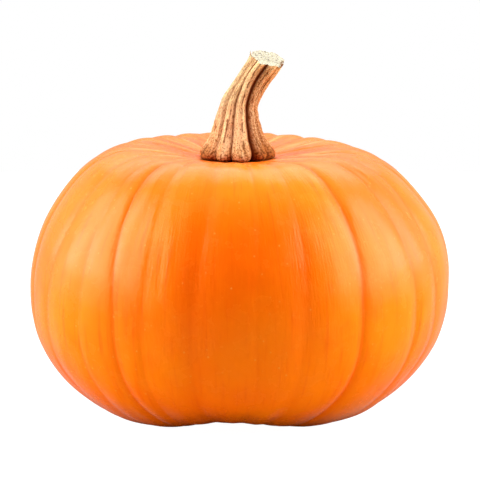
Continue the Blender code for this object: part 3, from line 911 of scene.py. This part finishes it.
STEM_TAN = (0.62, 0.315, 0.120)
STEM_PALE = (0.82, 0.560, 0.280)
STEM_STRAW = (0.56, 0.400, 0.2250)
STEM_PAINTED_LIGHT = (0.97, 0.680, 0.3600)
STEM_SHADE = (0.32, 0.130, 0.0650)
STEM_RUST_AND_SHADE = (0.27, 0.080, 0.0130)
STEM_TOE_STAIN_AND_SHADOW = (0.36, 0.104, 0.0120)
STEM_FLANK_BROWN_AND_SHADE = (0.30, 0.082, 0.0140)
STEM_VALLEY_BROWN_AND_SHADE = (0.090, 0.012, 0.0006)
STEM_GRAIN_BROWN = (0.17, 0.042, 0.0060)
STEM_GRAIN_PALE = (0.90, 0.600, 0.3200)
STEM_SLIT_BROWN = (0.12, 0.032, 0.0045)
CUT_CREAM = (0.47, 0.435, 0.340)
CUT_GREY = (0.16, 0.130, 0.115)
STEM_SPECULAR_LEVEL = 0.06
STEM_ROUGHNESS = (0.72, 0.92)
FIBRE_STREAKS = (9.0, 9.0, 90.0)
FIBRE_LEVELS = (0.38, 0.66)
FIBRE_BUMP = 0.0005
BLEACHED_RAMP = (0.10, 0.90, 0.0, 0.8)
PAINTED_LIGHT_TINT = 0.50
SHADED_TINT = 0.42
WEATHERED_AND_SHADED_RAMP = (0.12, 0.85, 0.0, 0.85)
TOE_RAMP = (0.10, 1.0, 0.0, 0.92)
GRAIN_STREAKS = (20.0, 20.0, 1000.0)
PALE_GRAIN_RAMP = (0.46, 0.36, 0.0, 0.45)
PALE_GRAIN_TOE_LEVELS = (0.6, 0.2)
DARK_GRAIN_RAMP = (0.54, 0.64, 0.0, 0.75)
TOE_GRAIN_RAMP = (0.48, 0.56, 0.0, 0.9)
TOE_GRAIN_TOE_LEVELS = (0.2, 0.7)
FLANK_RAMP = (0.10, 0.80, 0.0, 0.50)
VALLEY_RAMP = (0.28, 0.95, 0.0, 0.97)
SLIT_TINT = 0.95
COARSE_STREAKS = (6.0, 6.0, 260.0)
COARSE_RAMP = (0.50, 0.66, 0.0, 0.25)
CRACK_STREAKS = (16.0, 16.0, 150.0)
CRACK_RAMP = (0.64, 0.70, 0.0, 0.9)
CUT_SPECK_SIZE = 0.0012
CUT_SPECK_RAMP = (0.54, 0.66, 0.0, 0.8)
FRAYED_LEVELS = (0.20, 0.65)
FRAYED_SPECK_LEVELS = (0.42, 0.50)
CORK_SIZE = 0.0007
CORK_BUMP = 0.00035


def stem_finish():
    material, tree, shader = new_finish("dry corky stem")
    where = node(tree, "TexCoord", {}).outputs["Object"]
    around = kept(tree, "stem_around", "Vector")
    valley = kept(tree, "valley", "Fac")
    toe = kept(tree, "toe", "Fac")
    fibres = patches(tree, stretched(tree, around, FIBRE_STREAKS), 1.0, detail=4.0)
    color = tinted(tree, ramped(tree, fibres, *FIBRE_LEVELS), STEM_TAN, STEM_PALE)
    bleached = ramped(tree, kept(tree, "bleached", "Fac"), *BLEACHED_RAMP)
    color = tinted(tree, bleached, color, STEM_STRAW)
    # Painted light: the front of the stem lightened, from just above the foot upwards.
    painted_light_front = product(tree, kept(tree, "painted_light_front", "Fac"), PAINTED_LIGHT_TINT)
    color = tinted(tree, painted_light_front, color, STEM_PAINTED_LIGHT)
    shaded = product(tree, kept(tree, "shaded", "Fac"), SHADED_TINT)
    color = tinted(tree, shaded, color, STEM_SHADE)
    # The right side turns red-brown, partly weathering and partly painted shade, fading up the stem.
    weathered_and_shaded = ramped(tree, kept(tree, "weathered_and_shaded", "Fac"), *WEATHERED_AND_SHADED_RAMP)
    color = tinted(tree, weathered_and_shaded, color, STEM_RUST_AND_SHADE)
    # Brown at the toes: their own stain, and the painted contact shadow low on the foot.
    color = tinted(tree, ramped(tree, toe, *TOE_RAMP), color, STEM_TOE_STAIN_AND_SHADOW)
    grains = patches(tree, stretched(tree, around, GRAIN_STREAKS), 1.0, detail=2.0)
    pale = ramped(tree, grains, *PALE_GRAIN_RAMP)
    pale = product(tree, pale, ramped(tree, toe, *PALE_GRAIN_TOE_LEVELS))
    color = tinted(tree, pale, color, STEM_GRAIN_PALE)
    # Valleys and their flanks turn brown: the stem's own colour there, and painted shade.
    color = tinted(tree, ramped(tree, valley, *FLANK_RAMP), color, STEM_FLANK_BROWN_AND_SHADE)
    color = tinted(tree, ramped(tree, valley, *VALLEY_RAMP), color, STEM_VALLEY_BROWN_AND_SHADE)
    slit = product(tree, kept(tree, "slit", "Fac"), SLIT_TINT)
    color = tinted(tree, slit, color, STEM_SLIT_BROWN)
    coarse = patches(tree, stretched(tree, around, COARSE_STREAKS), 1.0, detail=3.0)
    color = tinted(tree, ramped(tree, coarse, *COARSE_RAMP), color, STEM_GRAIN_BROWN)
    color = tinted(tree, ramped(tree, grains, *DARK_GRAIN_RAMP), color, STEM_GRAIN_BROWN)
    speckle = ramped(tree, grains, *TOE_GRAIN_RAMP)
    speckle = product(tree, speckle, ramped(tree, toe, *TOE_GRAIN_TOE_LEVELS))
    color = tinted(tree, speckle, color, STEM_SLIT_BROWN)
    cracks = patches(tree, stretched(tree, around, CRACK_STREAKS), 1.0, detail=2.0)
    color = tinted(tree, ramped(tree, cracks, *CRACK_RAMP), color, STEM_SLIT_BROWN)
    specks = patches(tree, where, 1.0 / CUT_SPECK_SIZE, detail=3.0)
    cut = tinted(tree, ramped(tree, specks, *CUT_SPECK_RAMP), CUT_CREAM, CUT_GREY)
    color = tinted(tree, kept(tree, "cut", "Fac"), color, cut)
    frayed = ramped(tree, kept(tree, "frayed", "Fac"), *FRAYED_LEVELS)
    frayed = product(tree, frayed, ramped(tree, specks, *FRAYED_SPECK_LEVELS))
    color = tinted(tree, frayed, color, STEM_SLIT_BROWN)
    tree.links.new(color, shader.inputs["Base Color"])
    rough = ramped(tree, grains, 0.0, 1.0, *STEM_ROUGHNESS)
    tree.links.new(rough, shader.inputs["Roughness"])
    normal = raised(tree, fibres, FIBRE_BUMP)
    cork = patches(tree, where, 1.0 / CORK_SIZE, detail=4.0)
    normal = raised(tree, cork, CORK_BUMP, normal)
    tree.links.new(normal, shader.inputs["Normal"])
    shader.inputs["Specular IOR Level"].default_value = STEM_SPECULAR_LEVEL
    return material


stem.data.materials.append(stem_finish())
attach(stem, "root")
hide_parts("stem")

# The studio: a pale floor, white to the camera, that also glows as painted light; soft lights on
# both sides, behind and overhead, and nothing bright on the side of the camera, so that the front
# of the fruit keeps its full colour.

FLOOR_RADIUS = 0.85
FLOOR_SEGMENTS = 96
FLOOR_ROUGHNESS = 0.75
FLOOR_COLOR = (0.16, 0.16, 0.16)
PLAIN_WHITE = (1.0, 1.0, 1.0)
COOL_WHITE = (1.0, 1.0, 1.25)
WARM_WHITE = (1.0, 0.98, 0.66)
FLOOR_BOUNCE = (1.0, 0.94, 0.12)
FLOOR_GLOW = (0.06, 0.90)
FLOOR_GLOW_RADII = (0.060, 0.13)
FLOOR_WHITE = 0.99
AIM = Vector((0.0, 0.0, 0.1004))
CAMERA_DISTANCE = 1.40
CAMERA_ELEVATION = 12.0
CAMERA_CENTER_HEIGHT = 0.080
CAMERA_LENS = 183.7
SENSOR_WIDTH = 36.0

# The light from all round, by the parts of its direction: bright behind the fruit, where it is
# high or to the side, with a soft glow low down at both sides, and nothing from straight below.
BEHIND_RAMP = (0.08, 0.50, 0.04, 0.6)
HIGH_LEVELS = (-0.05, 0.10)
ASIDE_LEVELS = (0.04, 0.26)
SIDE_LEVELS = (0.50, 0.75)
SIDE_GLOW_RAMP = (0.0, 0.10, 0.25, 0.0)
BELOW_LEVELS = (-0.88, -0.30)

# Each soft light: name, place, the point it faces, size, brightness and whether it shows as gloss.
SOFTBOXES = (
    ("left", (-1.00, -0.20, 0.83), (0.0, -0.20, 0.83), (1.20, 1.22), 4.6, True),
    ("right", (1.00, -0.23, 0.83), (0.0, -0.23, 0.83), (1.26, 1.22), 4.5, True),
    ("left low", (-1.00, -0.17, 0.12), (0.0, -0.17, 0.12), (1.20, 0.20), 1.0, True),
    ("right low", (1.00, -0.17, 0.12), (0.0, -0.17, 0.12), (1.10, 0.20), 1.0, True),
    ("left fill", (-1.00, 0.20, 0.30), (0.0, 0.0, 0.10), (1.10, 0.90), 3.0, False),
    ("right fill", (1.00, 0.20, 0.30), (0.0, 0.0, 0.10), (1.10, 0.90), 3.0, False),
    ("back overhead", (0.0, 1.30, 1.30), (0.0, 1.30, 0.0), (2.00, 1.30), 1.6, True),
    ("overhead", (0.0, 0.26, 1.30), (0.0, 0.26, 0.10), (1.70, 1.20), 3.8, False),
)


def aimed(thing, place, target):
    thing.location = place
    thing.rotation_euler = (target - Vector(place)).to_track_quat("-Z", "Y").to_euler()


def build_floor():
    shape = bmesh.new()
    bmesh.ops.create_circle(shape, cap_ends=True, segments=FLOOR_SEGMENTS, radius=FLOOR_RADIUS)
    mesh = bpy.data.meshes.new("floor")
    shape.to_mesh(mesh)
    shape.free()
    floor = bpy.data.objects.new("floor", mesh)
    bpy.context.scene.collection.objects.link(floor)
    material, tree, shader = new_finish("pale floor")
    shader.inputs["Base Color"].default_value = (*FLOOR_COLOR, 1.0)
    shader.inputs["Roughness"].default_value = FLOOR_ROUGHNESS
    # The floor glows: an even white to the camera, and as light a warm glow standing in for bounced
    # light, dimmed close round the fruit as a painted contact shadow.
    where = node(tree, "TexCoord", {}).outputs["Object"]
    away = node(tree, "VectorMath", {0: where}, operation="LENGTH").outputs["Value"]
    glow = ramped(tree, away, *FLOOR_GLOW_RADII, *FLOOR_GLOW)
    seen = node(tree, "LightPath", {}).outputs["Is Camera Ray"]
    glow = node(tree, "Math", {0: glow, 1: product(tree, seen, FLOOR_WHITE)}, operation="MAXIMUM")
    tree.links.new(glow.outputs[0], shader.inputs["Emission Strength"])
    glow_color = tinted(tree, seen, FLOOR_BOUNCE, PLAIN_WHITE)
    tree.links.new(glow_color, shader.inputs["Emission Color"])
    mesh.materials.append(material)
    floor.visible_glossy = False


def build_softbox(name, place, target, size, brightness, shows_as_gloss):
    light = bpy.data.lights.new(name, "AREA")
    light.shape = "RECTANGLE"
    light.size, light.size_y = size
    light.energy = brightness * math.pi * size[0] * size[1]
    softbox = bpy.data.objects.new(name, light)
    softbox.visible_camera = False
    softbox.visible_glossy = shows_as_gloss
    light.color = COOL_WHITE if shows_as_gloss else WARM_WHITE
    bpy.context.scene.collection.objects.link(softbox)
    aimed(softbox, place, Vector(target))


def build_surroundings():
    """White all round for the camera; as light, bright behind the fruit and dark in front."""
    world = bpy.data.worlds.new("surroundings")
    bpy.context.scene.world = world
    world.use_nodes = True
    tree = world.node_tree
    tree.nodes.clear()
    direction = node(tree, "TexCoord", {}).outputs["Generated"]
    direction = node(tree, "SeparateXYZ", {"Vector": direction})
    aside = node(tree, "Math", {0: direction.outputs["X"]}, operation="ABSOLUTE").outputs[0]
    up = direction.outputs["Z"]
    open_there = {0: ramped(tree, up, *HIGH_LEVELS), 1: ramped(tree, aside, *ASIDE_LEVELS)}
    open_there = node(tree, "Math", open_there, operation="MAXIMUM").outputs[0]
    behind = ramped(tree, direction.outputs["Y"], *BEHIND_RAMP)
    lit = product(tree, behind, open_there)
    sideways = ramped(tree, aside, *SIDE_LEVELS)
    sideways = product(tree, sideways, ramped(tree, up, *SIDE_GLOW_RAMP))
    lit = node(tree, "Math", {0: lit, 1: sideways}, operation="MAXIMUM").outputs[0]
    lit = product(tree, lit, ramped(tree, up, *BELOW_LEVELS))
    seen = node(tree, "LightPath", {}).outputs["Is Camera Ray"]
    strength = node(tree, "Math", {0: lit, 1: seen}, operation="MAXIMUM").outputs[0]
    background = node(tree, "Background", {"Strength": strength})
    background.inputs["Color"].default_value = (*PLAIN_WHITE, 1.0)
    output = node(tree, "OutputWorld", {})
    tree.links.new(background.outputs[0], output.inputs["Surface"])


def build_camera():
    camera = bpy.data.objects.new("camera", bpy.data.cameras.new("camera"))
    bpy.context.scene.collection.objects.link(camera)
    camera.data.sensor_width = SENSOR_WIDTH
    camera.data.lens = CAMERA_LENS
    elevation = math.radians(CAMERA_ELEVATION)
    back = Vector((0.0, -math.cos(elevation), math.sin(elevation)))
    place = Vector((0.0, 0.0, CAMERA_CENTER_HEIGHT)) + CAMERA_DISTANCE * back
    aimed(camera, place, AIM)
    bpy.context.scene.camera = camera


build_floor()
for softbox in SOFTBOXES:
    build_softbox(*softbox)
build_surroundings()
build_camera()
bpy.context.scene.view_settings.view_transform = "Standard"
